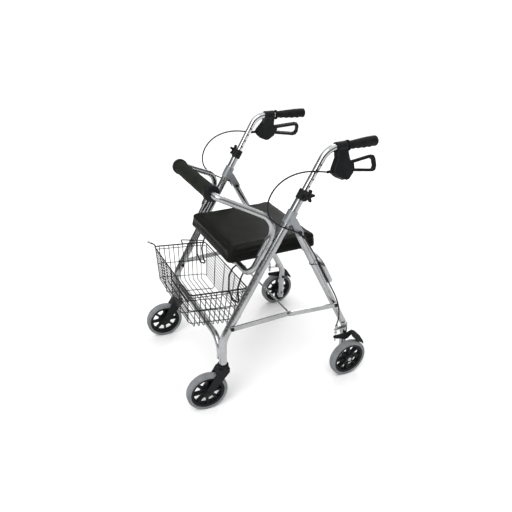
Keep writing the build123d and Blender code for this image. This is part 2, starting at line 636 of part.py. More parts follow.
def around_wheel(r, angle):
    """A point at radius r and angle from the rear axle, in Y and Z."""
    return (REAR_AXLE_Y + r * cos(radians(angle)), WHEEL_R + r * sin(radians(angle)))


with BuildPart() as arm:
    with BuildSketch(across(ARM_X)):
        with Locations(ARM_TIP):
            Circle(6.5)
        with Locations((ARM_PIVOT.Y, ARM_PIVOT.Z)):
            Circle(13)
        make_hull()
    extrude(amount=ARM_T)
    with BuildSketch(across(ARM_X)):
        with Locations((ARM_PIVOT.Y, ARM_PIVOT.Z)):
            Circle(13)
        with Locations(around_wheel(101, 78)):
            Circle(8)
        make_hull()
    extrude(amount=ARM_T)
    # the hump carries the shoe out over the tyre
    with BuildSketch(across(ARM_X)):
        with BuildLine():
            ThreePointArc(around_wheel(SHOE_R, 40), around_wheel(SHOE_R, 54), around_wheel(SHOE_R, 68))
            Polyline(around_wheel(SHOE_R, 68), around_wheel(93, 76), around_wheel(101, 84), around_wheel(109, 78),
                     around_wheel(106, 70), around_wheel(87, 47), around_wheel(SHOE_R, 40))
        make_face()
    extrude(amount=REAR_TRACK + TYRE_W / 2 - 2 - ARM_X)
    with BuildSketch(across(ARM_X)):
        with Locations((ARM_PIVOT.Y, ARM_PIVOT.Z)):
            Circle(BUSH_R + 0.06)
    extrude(amount=ARM_T, mode=Mode.SUBTRACT)
    with BuildSketch(Plane(origin=(WIRE_X, WIRE_Y, 150))):
        Circle(2.4)
    extrude(amount=40, mode=Mode.SUBTRACT)
save_pair(arm.part, "brake_arm")

# cable stops: a bent plate on each leg, and the adjuster with the inner wire below it
STOP_Z, STOP_T = 205.0, 3.0
FLANGE_X = TRACK + LEG_D / 2 + 0.3
with BuildPart() as stop:
    with BuildSketch(Plane.XY.offset(STOP_Z)):
        with Locations((WIRE_X - 1.5, 250)):
            RectangleRounded(15, 56, 3)
        with Locations((WIRE_X, WIRE_Y)):
            Circle(4.2, mode=Mode.SUBTRACT)
    extrude(amount=STOP_T)
    with BuildSketch(across(FLANGE_X, 270, STOP_Z + 8)):
        RectangleRounded(26, 22, 4)
    extrude(amount=STOP_T)
save(both(stop.part), "cable_stops")

FERRULE_Z = 156.4         # the end stop of the inner wire, under the brake arm
with BuildPart() as adjuster:
    for z_low, radius, height in ((190.0, 5.5, 5.0), (195.0, 4.0, 26.0), (208.2, 5.5, 4.0), (216.0, 5.0, 9.0)):
        with BuildSketch(Plane(origin=(WIRE_X, WIRE_Y, z_low))):
            Circle(radius)
        extrude(amount=height)
    with BuildSketch(Plane(origin=(WIRE_X, WIRE_Y, FERRULE_Z))):
        Circle(0.9)
    extrude(amount=198 - FERRULE_Z)
    with BuildSketch(Plane(origin=(WIRE_X, WIRE_Y, FERRULE_Z))):
        Circle(3.4)
    extrude(amount=4.5)
save(both(adjuster.part), "cable_adjusters")

# ---- brake cables -------------------------------------------------------------------
# Each cable is straight runs and tangent arcs. Every arc is as large as its two runs allow.


def cable(points, name):
    vectors = [Vector(*p) for p in points]
    runs = [(b - a).length for a, b in zip(vectors, vectors[1:])]
    radii = []
    for a, b, c, run_in, run_out in zip(vectors, vectors[1:], vectors[2:], runs, runs[1:]):
        turn = (b - a).get_angle(c - b)
        radii.append(0.45 * min(run_in, run_out) / tan(radians(turn / 2)))
    with BuildPart() as piece:
        with BuildLine() as path:
            FilletPolyline(*vectors, radius=radii)
        with BuildSketch(Plane(origin=path.line @ 0, z_dir=path.line % 0)):
            Circle(CABLE_D / 2)
        sweep()
    length = sum(edge.length for edge in path.edges())
    section = 3.14159265 * CABLE_D ** 2 / 4
    print(name, "length", round(length, 1), "volume ratio", round(piece.part.volume / (section * length), 4),
          "runs", [round(r) for r in runs], "radii", [round(r) for r in radii])
    return piece.part


cable_exit = brake.from_local_coords((-64.6, -70, 0))
upper_route = [
    (cable_exit.X, cable_exit.Y, cable_exit.Z), (266, 85, 841), (267, 44, 846), (267, 2, 843), (267, -38, 829),
    (267, -70, 802), (267, -87, 765), (268, -84, 725), (270, -60, 695), (271, -25, 672), (270, 8, 656), (268, 36, 640)]
save_pair(cable(upper_route, "upper cable"), "upper_brake_cable")

lower_route = [
    (268, 55, 622), (267, 76, 590), (267, 98, 555), (268, 121, 516), (269, 143, 475), (271, 164, 434),
    (275, 186, 394), (278.5, 205, 355), (279, 218, 316), (275, 226, 278), (267.5, 230.5, 250),
    (WIRE_X, WIRE_Y, 225.8)]
save_pair(cable(lower_route, "lower cable"), "lower_brake_cable")

# ---- seat ----------------------------------------------------------------------------
CUSHION_ROUND, BOARD_INSET = 16.0, 22.0
seat_mid_y = (SEAT_FRONT + SEAT_BACK) / 2
seat_l = SEAT_BACK - SEAT_FRONT
with BuildPart() as cushion:
    with BuildSketch(Plane.XY.offset(SEAT_BOTTOM)):
        with Locations((0, seat_mid_y)):
            RectangleRounded(2 * SEAT_X, seat_l, 18)
    extrude(amount=SEAT_TOP - SEAT_BOTTOM)
    fillet(cushion.faces().sort_by(Axis.Z)[-1].edges(), CUSHION_ROUND)
    fillet(cushion.faces().sort_by(Axis.Z)[0].edges(), 6)
    with BuildSketch(Plane.XY.offset(SEAT_BOTTOM - 1)):
        with Locations((0, seat_mid_y)):
            Rectangle(2 * (SEAT_X - BOARD_INSET) + 1, seat_l - 2 * BOARD_INSET + 1)
    extrude(amount=BOARD_TOP - SEAT_BOTTOM + 1.3, mode=Mode.SUBTRACT)
save(cushion.part, "seat_cushion")

with BuildPart() as board:
    with BuildSketch(Plane.XY.offset(BOARD_BOTTOM)):
        with Locations((0, seat_mid_y)):
            Rectangle(2 * (SEAT_X - BOARD_INSET), seat_l - 2 * BOARD_INSET)
    extrude(amount=BOARD_TOP - BOARD_BOTTOM)
save(board.part, "seat_board")

SADDLE_W, SADDLE_R = 24.0, 15.0
with BuildPart() as saddles:
    for x in (-110, 110):
        with BuildSketch(across(x - SADDLE_W / 2, SEAT_HINGE_Y, SEAT_HINGE_Z)):
            Circle(SADDLE_R)
            with Locations((0, (BOARD_BOTTOM - 0.2 - SEAT_HINGE_Z) / 2)):
                Rectangle(2 * SADDLE_R, BOARD_BOTTOM - 0.2 - SEAT_HINGE_Z)
            with Locations((0, SADDLE_R)):
                Rectangle(40, 2 * (SADDLE_R - (BOARD_BOTTOM - 0.2 - SEAT_HINGE_Z)), mode=Mode.SUBTRACT)
            Circle(TUBE_D / 2 + 0.08, mode=Mode.SUBTRACT)
        extrude(amount=SADDLE_W)
save(saddles.part, "seat_saddles")

# ---- basket ----------------------------------------------------------------------------
# Five welded panels: a floor, a front, a back and two sides. They meet only where their
# wires are cut, just past the bends at the corners and round the floor.
RIM_X, FLOOR_X = 196.0, 170.0
RIM_FRONT, RIM_BACK = Vector(0, -319, 453), Vector(0, -109, 431)
FLOOR_FRONT, FLOOR_BACK = Vector(0, -315, 313), Vector(0, -121, 284)
WIRE_R, RIM_WIRE_R = 1.5, 2.6
CORNER_BEND, FLOOR_BEND = 14.0, 9.0
CORNER_CUT = 16.0         # a ring's corner ends this far from the corner point
WALL_END = 0.91           # the walls reach this share of the way from the rim to the floor
LOWEST = 0.895            # the lowest ring
LEVELS = 12               # horizontal wires of the front and back
RING_LEVELS = (0, 1, 6, 11)         # those of them that run on round the sides
CROSS_WIRES = 10          # floor wires from side to side that climb the side walls
POSTS = (-1.0, -0.5, 0.0, 0.5, 1.0)     # upright wires of the front and back; the outer two end above the floor
POST_R = 1.6
OVERHANG = 1.02           # the level wires reach just past the outer posts
CROSS_DROP = 2.0          # the cross wires pass under the long wires of the floor


def mix(a, b, t):
    return a + (b - a) * t


def wire(points, radius, bend=FLOOR_BEND):
    with BuildPart() as piece:
        with BuildLine() as path:
            if len(points) == 2:
                Line(*points)
            else:
                FilletPolyline(*points, radius=bend)
        with BuildSketch(Plane(origin=path.line @ 0, z_dir=path.line % 0)):
            Circle(radius)
        sweep()
    return piece.part


def welded(wires):
    with BuildPart() as piece:
        add(wires)
    return piece.part


def corner(wall, t, side):
    """The corner of a wall, t of the way from the rim to the floor, on one side."""
    return mix(*wall, t) + X_DIR * side * (RIM_X + (FLOOR_X - RIM_X) * t)


def cross_places(k, side):
    """A cross wire's rim point, the place where its wall part ends, and its floor corner."""
    t = (k + 1) / (CROSS_WIRES + 1)
    rim = mix(RIM_FRONT, RIM_BACK, t) + X_DIR * side * RIM_X
    floor = mix(FLOOR_FRONT, FLOOR_BACK, t) + Vector(side * FLOOR_X, 0, -CROSS_DROP)
    return rim, mix(rim, floor, WALL_END), floor


def post_place(wall, share, t):
    """A point of an upright wire of the front or back."""
    return mix(*wall, t) + X_DIR * share * (RIM_X - CORNER_CUT + (FLOOR_X - RIM_X) * t)


FRONT_WALL, BACK_WALL = (RIM_FRONT, FLOOR_FRONT), (RIM_BACK, FLOOR_BACK)
levels = [LOWEST * k / (LEVELS - 1) for k in range(LEVELS)]


def ring_cut(t, wall, other, side):
    """Where a ring is cut, on the side wall next to a corner."""
    start, towards = corner(wall, t, side), corner(other, t, side)
    return start + (towards - start).normalized() * CORNER_CUT


def end_panel(wall, other):
    wires = []
    for k, t in enumerate(levels):
        if k in RING_LEVELS:
            path = [ring_cut(t, wall, other, 1), corner(wall, t, 1), corner(wall, t, -1), ring_cut(t, wall, other, -1)]
            wires.append(wire(path, WIRE_R if k else RIM_WIRE_R, CORNER_BEND))
        else:
            wires.append(wire([post_place(wall, -OVERHANG, t), post_place(wall, OVERHANG, t)], WIRE_R))
    for share in POSTS:
        wires.append(wire([post_place(wall, share, 0), post_place(wall, share, WALL_END)], POST_R))
    return wires


def side_panel(side):
    wires = []
    for k in RING_LEVELS:
        cuts = [ring_cut(levels[k], FRONT_WALL, BACK_WALL, side), ring_cut(levels[k], BACK_WALL, FRONT_WALL, side)]
        wires.append(wire(cuts, WIRE_R if k else RIM_WIRE_R))
    for k in range(CROSS_WIRES):
        wires.append(wire(cross_places(k, side)[:2], WIRE_R))
    return wires


floor_wires = []
for k in range(CROSS_WIRES):
    left_side, right_side = cross_places(k, 1), cross_places(k, -1)
    floor_wires.append(wire([left_side[1], left_side[2], right_side[2], right_side[1]], WIRE_R))
for share in POSTS[1:-1]:
    floor_wires.append(wire([post_place(FRONT_WALL, share, WALL_END), post_place(FRONT_WALL, share, 1),
                             post_place(BACK_WALL, share, 1), post_place(BACK_WALL, share, WALL_END)], POST_R))

# the carrying bail lies along the rim on the right and ends in a stub at the front corner
bail_stub = wire([(-191.9, -314.9, 452.6), (-199, -319, 461), (-226, -333, 461)], RIM_WIRE_R, 4.0)
bail = wire([(-195.6, -203, 441), (-198.6, -212, 459.5), (-198.6, -111, 437.5)], RIM_WIRE_R - 0.4, 4.0)

panels = [floor_wires, end_panel(FRONT_WALL, BACK_WALL) + [bail_stub], end_panel(BACK_WALL, FRONT_WALL),
          side_panel(1), side_panel(-1) + [bail]]
save(Compound(children=[welded(wires) for wires in panels]), "wire_basket")

# hangers: loops of thick wire that hook over the seat support tube and reach into the basket
HANGER_R, HANGER_X = 3.0, 152.0
HANGER_TOP = Vector(HANGER_X, -146, 497)
hanger = wire(
    [(HANGER_X, -132, 505), HANGER_TOP, (HANGER_X, -160, 470), (HANGER_X, -161, 411), (154, -146, 368),
     (159, -121.5, 354), (165, -130, 376), (168, -134, 423), (169, -122, 465), (169, -108.5, 490),
     (169, -109.5, 506)], HANGER_R, 5.0)
with BuildPart() as hanger_holes:
    add(seat_support)
    for side in (-1, 1):
        with BuildSketch(Plane(origin=(side * HANGER_X, HANGER_TOP.Y, HANGER_TOP.Z), z_dir=(0, 14, 8))):
            Circle(HANGER_R + 0.1)
        extrude(amount=20, mode=Mode.SUBTRACT)
save(hanger_holes.part, "seat_support_tube")
save(both(hanger), "basket_hangers")
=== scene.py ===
import json
import math

import bmesh
import bpy
from mathutils import Matrix, Vector, noise


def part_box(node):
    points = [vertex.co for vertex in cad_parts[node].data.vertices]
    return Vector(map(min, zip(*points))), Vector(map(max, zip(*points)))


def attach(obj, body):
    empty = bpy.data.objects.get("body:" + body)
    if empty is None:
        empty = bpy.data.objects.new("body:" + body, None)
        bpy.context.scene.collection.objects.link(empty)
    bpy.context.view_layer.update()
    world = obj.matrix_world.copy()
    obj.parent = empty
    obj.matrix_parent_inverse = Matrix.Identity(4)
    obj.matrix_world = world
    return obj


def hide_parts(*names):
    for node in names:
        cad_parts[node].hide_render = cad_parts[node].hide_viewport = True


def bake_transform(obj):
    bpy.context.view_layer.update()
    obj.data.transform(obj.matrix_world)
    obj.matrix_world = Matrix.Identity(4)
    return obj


# A folding four-wheeled walker: the looks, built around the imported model.
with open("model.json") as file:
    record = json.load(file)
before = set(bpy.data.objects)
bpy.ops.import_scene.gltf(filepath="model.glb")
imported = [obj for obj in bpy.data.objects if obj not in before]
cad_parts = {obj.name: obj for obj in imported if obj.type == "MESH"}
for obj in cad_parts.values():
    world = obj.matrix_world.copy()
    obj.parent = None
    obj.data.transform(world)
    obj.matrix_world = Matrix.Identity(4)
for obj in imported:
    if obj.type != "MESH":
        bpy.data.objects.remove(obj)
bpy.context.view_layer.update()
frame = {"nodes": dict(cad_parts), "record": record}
nodes = frame["nodes"]
MM = 0.001
SIDES = (("left", 1), ("right", -1))


# ---- materials ---------------------------------------------------------------------------
class Look:
    """A material whose colour, roughness and relief come from textures in object space."""

    def __init__(self, name, metallic=0.0, **sockets):
        self.material = bpy.data.materials.new(name)
        self.material.use_nodes = True
        self.tree = self.material.node_tree
        self.shader = self.tree.nodes["Principled BSDF"]
        self.shader.inputs["Metallic"].default_value = metallic
        for key, value in sockets.items():
            self.shader.inputs[key.replace("_", " ")].default_value = value
        self.place = self.make("TexCoord").outputs["Object"]
        self.normal = None

    def make(self, kind):
        return self.tree.nodes.new("ShaderNode" + kind)

    def link(self, source, target):
        self.tree.links.new(source, target)

    def stretched(self, x, y, z):
        node = self.make("Mapping")
        node.inputs["Scale"].default_value = (x, y, z)
        self.link(self.place, node.inputs["Vector"])
        return node.outputs["Vector"]

    def noise(self, scale, detail=4.0, rough=0.55, place=None, distortion=0.0):
        node = self.make("TexNoise")
        settings = (("Scale", scale), ("Detail", detail), ("Roughness", rough), ("Distortion", distortion))
        for key, value in settings:
            node.inputs[key].default_value = value
        self.link(place or self.place, node.inputs["Vector"])
        return node.outputs["Fac"]

    def cells(self, scale, feature="F1", place=None):
        node = self.make("TexVoronoi")
        node.feature = feature
        node.inputs["Scale"].default_value = scale
        self.link(place or self.place, node.inputs["Vector"])
        return node.outputs["Distance"]

    def span(self, value, low, high, to_low=0.0, to_high=1.0):
        node = self.make("MapRange")
        self.link(value, node.inputs["Value"])
        for key, number in (("From Min", low), ("From Max", high), ("To Min", to_low), ("To Max", to_high)):
            node.inputs[key].default_value = number
        return node.outputs["Result"]

    def mixed(self, share, a, b):
        """A colour between a and b; each is a colour or a socket."""
        node = self.make("Mix")
        node.data_type = "RGBA"
        self.link(share, node.inputs["Factor"])
        for key, value in ((6, a), (7, b)):
            if isinstance(value, tuple):
                node.inputs[key].default_value = (*value, 1.0)
            else:
                self.link(value, node.inputs[key])
        return node.outputs[2]

    def colour(self, socket):
        self.link(socket, self.shader.inputs["Base Color"])
        return self

    def roughness(self, value, low, high, from_low=0.35, from_high=0.65):
        self.link(self.span(value, from_low, from_high, low, high), self.shader.inputs["Roughness"])
        return self

    def relief(self, height, distance, strength=1.0):
        node = self.make("Bump")
        node.inputs["Distance"].default_value = distance
        node.inputs["Strength"].default_value = strength
        self.link(height, node.inputs["Height"])
        if self.normal:
            self.link(self.normal, node.inputs["Normal"])
        self.normal = node.outputs["Normal"]
        self.link(self.normal, self.shader.inputs["Normal"])
        return self


def metal(name, dull, bright, rough, scratch, grain=0.00003):
    """Bare or plated tube: soft cloudy colour, hairline scratches and handling marks."""
    look = Look(name, metallic=1.0)
    clouds = look.noise(14.0, 5.0)
    hairlines = look.noise(1.0, 3.0, place=look.stretched(900.0, 140.0, 90.0))
    marks = look.noise(60.0, 6.0, 0.7)
    tone = look.mixed(look.span(clouds, 0.3, 0.7), dull, bright)
    look.colour(look.mixed(look.span(marks, 0.66, 0.8), tone, tuple(0.72 * c for c in dull)))
    look.roughness(look.mixed(look.span(hairlines, 0.3, 0.7), (0.3,) * 3, (0.7,) * 3), *rough)
    look.relief(hairlines, grain, scratch)
    return look.material


def moulded(name, dark, light, rough=(0.42, 0.62), grain=0.00006):
    """Moulded plastic: fine spark grain, faint flow clouds and dust in the hollows."""
    look = Look(name, Specular_IOR_Level=0.14)
    spark = look.cells(1500.0)
    clouds = look.noise(22.0, 5.0)
    dust = look.noise(240.0, 5.0, 0.7)
    tone = look.mixed(look.span(clouds, 0.3, 0.7), dark, light)
    look.colour(look.mixed(look.span(dust, 0.62, 0.8), tone, tuple(c + 0.012 for c in light)))
    look.roughness(dust, *rough)
    look.relief(spark, grain, 0.5)
    return look.material


def cast_look():
    look = Look("cast_silver", metallic=0.75)
    sand = look.noise(900.0, 3.0)
    clouds = look.noise(30.0, 5.0)
    look.colour(look.mixed(look.span(clouds, 0.3, 0.7), (0.24, 0.255, 0.27), (0.33, 0.345, 0.36)))
    look.roughness(clouds, 0.36, 0.52)
    look.relief(sand, 0.00012, 0.6)
    return look.material


def tyre_look():
    look = Look("tyre_grey", Specular_IOR_Level=0.3)
    clouds, dirt = look.noise(35.0, 6.0), look.noise(260.0, 6.0, 0.7)
    tone = look.mixed(look.span(clouds, 0.3, 0.7), (0.155, 0.162, 0.170), (0.215, 0.222, 0.230))
    look.colour(look.mixed(look.span(dirt, 0.58, 0.75), tone, (0.115, 0.112, 0.105)))
    look.roughness(dirt, 0.55, 0.8)
    look.relief(dirt, 0.00015, 0.5)
    look.relief(look.cells(1300.0), 0.00006, 0.5)
    return look.material


def rubber_look():
    look = Look("grip_rubber", Specular_IOR_Level=0.1)
    clouds, grain = look.noise(40.0, 5.0), look.cells(1100.0)
    look.colour(look.mixed(look.span(clouds, 0.3, 0.7), (0.006, 0.006, 0.0065), (0.014, 0.014, 0.0145)))
    look.roughness(clouds, 0.5, 0.72)
    look.relief(grain, 0.0001, 0.6)
    return look.material


def foam_look():
    look = Look("foam_black", Specular_IOR_Level=0.07)
    pores, clouds, fine = look.cells(620.0), look.noise(18.0, 5.0), look.noise(1400.0, 3.0)
    tone = look.mixed(look.span(clouds, 0.3, 0.7), (0.010, 0.0115, 0.0085), (0.020, 0.0225, 0.017))
    # the pits at the pore centres are painted darker than the foam round them: painted shade in the pits
    look.colour(look.mixed(look.span(pores, 0.0, 0.35), (0.008, 0.008, 0.008), tone))
    look.roughness(clouds, 0.72, 0.9)
    look.relief(pores, 0.0004, 0.7)
    look.relief(fine, 0.0001, 0.5)
    return look.material


def vinyl_look():
    look = Look("seat_vinyl", Specular_IOR_Level=0.09)
    grain, warp, clouds = look.cells(520.0), look.noise(90.0, 4.0), look.noise(7.0, 5.0)
    creases = look.cells(260.0, "DISTANCE_TO_EDGE", look.stretched(1.0, 1.6, 1.0))
    tone = look.mixed(look.span(clouds, 0.3, 0.7), (0.006, 0.0075, 0.0052), (0.012, 0.014, 0.0105))
    look.colour(look.mixed(look.span(grain, 0.25, 0.6), tone, (0.004, 0.0045, 0.0035)))
    look.roughness(clouds, 0.36, 0.5)
    look.relief(warp, 0.0004, 0.5)
    look.relief(look.span(creases, 0.0, 0.06), 0.00012, 0.6)
    look.relief(grain, 0.00018, 0.7)
    return look.material


def wood_look():
    look = Look("seat_board_wood", Specular_IOR_Level=0.35)
    grain = look.noise(30.0, 6.0, 0.6, look.stretched(1.0, 9.0, 9.0), 0.4)
    look.colour(look.mixed(look.span(grain, 0.35, 0.65), (0.045, 0.034, 0.024), (0.11, 0.085, 0.06)))
    look.roughness(grain, 0.5, 0.7)
    look.relief(grain, 0.0002, 0.5)
    return look.material


def wire_look():
    look = Look("black_wire", Specular_IOR_Level=0.15)
    peel, wear = look.noise(480.0, 3.0), look.noise(120.0, 6.0, 0.7)
    look.colour(look.mixed(look.span(wear, 0.68, 0.8), (0.006, 0.006, 0.0065), (0.03, 0.03, 0.03)))
    look.roughness(wear, 0.28, 0.45)
    look.relief(peel, 0.00012, 0.6)
    return look.material


def jacket_look():
    look = Look("cable_jacket", Specular_IOR_Level=0.15)
    clouds = look.noise(50.0, 4.0)
    look.colour(look.mixed(look.span(clouds, 0.3, 0.7), (0.006, 0.006, 0.0065), (0.013, 0.013, 0.0135)))
    look.roughness(clouds, 0.32, 0.48)
    look.relief(look.noise(700.0, 3.0), 0.00006, 0.5)
    return look.material


LOOKS = {
    "frame_silver": metal("frame_silver", (0.32, 0.325, 0.33), (0.43, 0.435, 0.445), (0.18, 0.32), 0.35),
    "cast_silver": cast_look(),
    "chrome_tube": metal("chrome_tube", (0.46, 0.465, 0.47), (0.60, 0.605, 0.615), (0.05, 0.13), 0.15),
    "zinc_steel": metal("zinc_steel", (0.28, 0.285, 0.29), (0.42, 0.425, 0.43), (0.22, 0.38), 0.4),
    "black_bolts": moulded("black_bolts", (0.006, 0.006, 0.006), (0.014, 0.014, 0.014), (0.25, 0.4), 0.00003),
    "black_plastic": moulded("black_plastic", (0.005, 0.0055, 0.006), (0.011, 0.012, 0.013)),
    "tyre_grey": tyre_look(), "grip_rubber": rubber_look(), "foam_black": foam_look(),
    "seat_vinyl": vinyl_look(), "seat_board": wood_look(), "black_wire": wire_look(),
    "cable_jacket": jacket_look()}
for part in frame["record"]["subparts"]:
    mesh = nodes[part["node"]].data
    mesh.materials.clear()
    mesh.materials.append(LOOKS[part["material_slot"]])


# ---- mesh helpers --------------------------------------------------------------------------
def new_piece(name, bm, slot, smooth=True):
    mesh = bpy.data.meshes.new(name)
    bmesh.ops.recalc_face_normals(bm, faces=bm.faces)
    bm.to_mesh(mesh)
    bm.free()
    for face in mesh.polygons:
        face.use_smooth = smooth
    piece = bpy.data.objects.new(name, mesh)
    bpy.context.scene.collection.objects.link(piece)
    mesh.materials.append(LOOKS[slot])
    return piece


def frames_along(points):
    """(point, two unit normals) along a line, turning as little as possible."""
    found, side = [], None
    for k, p in enumerate(points):
        ahead = (points[min(k + 1, len(points) - 1)] - points[max(k - 1, 0)]).normalized()
        if side is None:
            side = ahead.orthogonal().normalized()
        side = (side - ahead * side.dot(ahead)).normalized()
        found.append((p, side, ahead.cross(side)))
    return found


def add_tube(bm, points, radius, segments=12, closed=False):
    """A round tube along points; radius is a number or a function of the share along it."""
    rings = []
    for k, (p, u, v) in enumerate(frames_along(points)):
        r = radius(k / (len(points) - 1)) if callable(radius) else radius
        angles = [2 * math.pi * j / segments for j in range(segments)]
        rings.append([bm.verts.new(p + u * (r * math.cos(a)) + v * (r * math.sin(a))) for a in angles])
    pairs = list(zip(rings, rings[1:] + ([rings[0]] if closed else [])))
    for a, b in pairs:
        for j in range(segments):
            bm.faces.new((a[j], a[(j + 1) % segments], b[(j + 1) % segments], b[j]))
    if not closed:
        bm.faces.new(rings[0])
        bm.faces.new(rings[-1])


# ---- brake cables ----------------------------------------------------------------------------
CABLE_R = 2.5 * MM
# route points in mm, from the housing to the pivot bracket and on to the brake
UPPER = [(265.58, 120.00, 833.39), (266, 85, 841), (267, 44, 846), (267, 2, 843), (267, -38, 829),
         (267, -70, 802), (267, -87, 765), (268, -84, 725), (270, -60, 695), (271, -25, 672),
         (270, 8, 656), (268, 36, 640)]
LOWER = [(268, 55, 622), (267, 76, 590), (267, 98, 555), (268, 121, 516), (269, 143, 475), (271, 164, 434),
         (275, 186, 394), (278.5, 205, 355), (279, 218, 316), (275, 226, 278), (267.5, 230.5, 250),
         (262.15, 230, 225.8)]
CABLE_SIDES = 14


def route(name, points, side, radius):
    """A smooth curve with these control points."""
    curve = bpy.data.curves.new(name, "CURVE")
    curve.dimensions = "3D"
    curve.resolution_u = 12
    spline = curve.splines.new("NURBS")
    spline.points.add(len(points) - 1)
    for at, (x, y, z) in zip(spline.points, points):
        at.co = (side * x * MM, y * MM, z * MM, 1.0)
    spline.order_u = 3
    spline.use_endpoint_u = True
    curve.bevel_depth = radius
    curve.bevel_resolution = 4
    curve.use_fill_caps = True
    piece = bpy.data.objects.new(name, curve)
    bpy.context.scene.collection.objects.link(piece)
    return piece


def line_of(curve_piece):
    """The points that a route's bare curve runs through."""
    curve_piece.data.bevel_depth = 0.0
    mesh = bpy.data.meshes.new_from_object(curve_piece)
    points = [v.co.copy() for v in mesh.vertices]
    bpy.data.meshes.remove(mesh)
    bpy.data.objects.remove(curve_piece)
    return points


for word, side in SIDES:
    # from the handle to the frame; a fixed mesh here, though the real cable bends as the handle slides
    line = line_of(route(f"{word}_upper_route", UPPER, side, 0.0))
    bm = bmesh.new()
    add_tube(bm, line, CABLE_R, CABLE_SIDES)
    upper = new_piece(f"{word}_upper_cable", bm, "cable_jacket")
    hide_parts(f"{word}_upper_brake_cable")
    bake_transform(upper)

    lower = route(f"{word}_lower_cable", LOWER, side, CABLE_R)
    lower.data.materials.append(LOOKS["cable_jacket"])
    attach(lower, "rear_frame")
    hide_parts(f"{word}_lower_brake_cable")


# ---- ties, clips and the bail's cap ---------------------------------------------------------------
LEG_TOP = Vector((243, 43, 637))  # the left rear leg's pivot, in mm
LEG_DOWN, LEG_BACK = Vector((0, 0.48022, -0.87715)), Vector((0, 0.87715, 0.48022))
TIE_AT = 146.0                    # mm below the leg's pivot
TIE_STEPS, TAIL_STEPS, TAIL_LENGTH = 48, 16, 88
STRAP_R, TAIL_R = 1.3, 1.0
TIE_ROUND = ((0.0, 0.0, 13.4), (25.0, 10.3, 3.5))     # the leg and the cable inside the tie: x, y, radius


def make_tie(word, side):
    """A strap drawn round the rear leg and its cable, with a loose tail."""
    centre = LEG_TOP + LEG_DOWN * TIE_AT
    loop = []
    for k in range(TIE_STEPS):
        a = 2 * math.pi * k / TIE_STEPS
        u, v = math.cos(a), math.sin(a)
        x, y, r = max(TIE_ROUND, key=lambda c: c[0] * u + c[1] * v + c[2])
        loop.append(centre + Vector((x + r * u, 0, 0)) + LEG_BACK * (y + r * v))
    start = centre + Vector((29.0, 0, 0)) + LEG_BACK * 10
    tail = []
    for k in range(TAIL_STEPS + 1):
        t = k / TAIL_STEPS
        sway = Vector((3 * math.sin(3 * t), 0, 0)) + LEG_BACK * (5 * t * t - 4 * t)
        tail.append(start + LEG_DOWN * (TAIL_LENGTH * t) + sway)
    bm = bmesh.new()
    for line, radius, closed in ((loop, STRAP_R, True), (tail, TAIL_R, False)):
        add_tube(bm, [Vector((side * p.x, p.y, p.z)) * MM for p in line], radius * MM, 10, closed)
    tie = new_piece(f"{word}_cable_tie", bm, "cable_jacket")
    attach(tie, "rear_frame")


SLEEVE_SIDES = 40


def make_sleeve(name, places, profile, slot, body):
    """A short moulded sleeve round a wire; profile gives (share, radius) along it."""
    a, b = (Vector(p) * MM for p in places)
    line = [a.lerp(b, t) for t, _ in profile]
    radii = [r * MM for _, r in profile]
    bm = bmesh.new()
    add_tube(bm, line, lambda t: radii[round(t * (len(radii) - 1))], SLEEVE_SIDES)
    piece = new_piece(name, bm, slot)
    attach(piece, body)


CLIP = ((0.0, 3.0), (0.04, 4.4), (0.3, 4.7), (0.34, 3.9), (0.66, 3.9), (0.7, 4.7), (0.96, 4.4), (1.0, 3.0))
BAIL_CAP = ((0.0, 3.2), (0.02, 3.7), (0.9, 3.7), (0.97, 3.2), (1.0, 2.0))
for word, side in SIDES:
    make_tie(word, side)
    ends = ((side * 268, 33, 643), (side * 268, 57, 620))
    make_sleeve(f"{word}_cable_clip", ends, CLIP, "cable_jacket", "frame")
make_sleeve("bail_cap", ((-211, -325.4, 461), (-229, -334.6, 461)), BAIL_CAP, "cast_silver", "frame")


# ---- seat cushion ------------------------------------------------------------------------------
SEAT_LOW, SEAT_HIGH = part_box("seat_cushion")
SEAT_CENTRE = (SEAT_LOW + SEAT_HIGH) / 2
SEAT_HALF = (SEAT_HIGH - SEAT_LOW) / 2
SHRINK = Vector((3.0, 3.0, 1.5)) * MM
SEAM_Z = SEAT_LOW.z + 0.62 * (SEAT_HIGH.z - SEAT_LOW.z)
SEAT_CORNER, SEAT_ROUND = 18 * MM, 9 * MM
SEAT_VOXEL, SEAT_PRESSURE, SEAT_FRAMES, SEAT_CAP = 5 * MM, 4.0, 20, 6 * MM
HELD_HEIGHT = 9 * MM              # the cover is stapled below this height above its lower edge
SEAM_DEPTH, SEAM_WIDTH = 1.6 * MM, 2.4 * MM
PUCKER, HOLLOW = 0.5 * MM, 1.2 * MM


def make_cushion():
    """A rounded box in quads, ready to swell."""
    half = SEAT_HALF - SHRINK
    bm = bmesh.new()
    bmesh.ops.create_cube(bm, size=2.0)
    for v in bm.verts:
        v.co = Vector((v.co.x * half.x, v.co.y * half.y, v.co.z * half.z))
    uprights = [e for e in bm.edges if abs(e.verts[0].co.z - e.verts[1].co.z) > half.z]
    bmesh.ops.bevel(bm, geom=uprights, offset=SEAT_CORNER, segments=7, affect="EDGES", profile=0.5)
    level = [e for e in bm.edges if abs(e.verts[0].co.z - e.verts[1].co.z) < 1e-6
             and len(e.link_faces) == 2 and abs(sum(f.normal.z for f in e.link_faces)) > 0.5
             and any(abs(f.normal.z) < 0.5 for f in e.link_faces)]
    bmesh.ops.bevel(bm, geom=level, offset=SEAT_ROUND, segments=5, affect="EDGES", profile=0.5)
    for v in bm.verts:
        v.co += SEAT_CENTRE
    return new_piece("seat_pad", bm, "seat_vinyl")


def apply_modifiers(piece):
    """The piece's mesh as its modifiers leave it."""
    graph = bpy.context.evaluated_depsgraph_get()
    mesh = bpy.data.meshes.new_from_object(piece.evaluated_get(graph))
    piece.modifiers.clear()
    piece.data = mesh
    for face in mesh.polygons:
        face.use_smooth = True


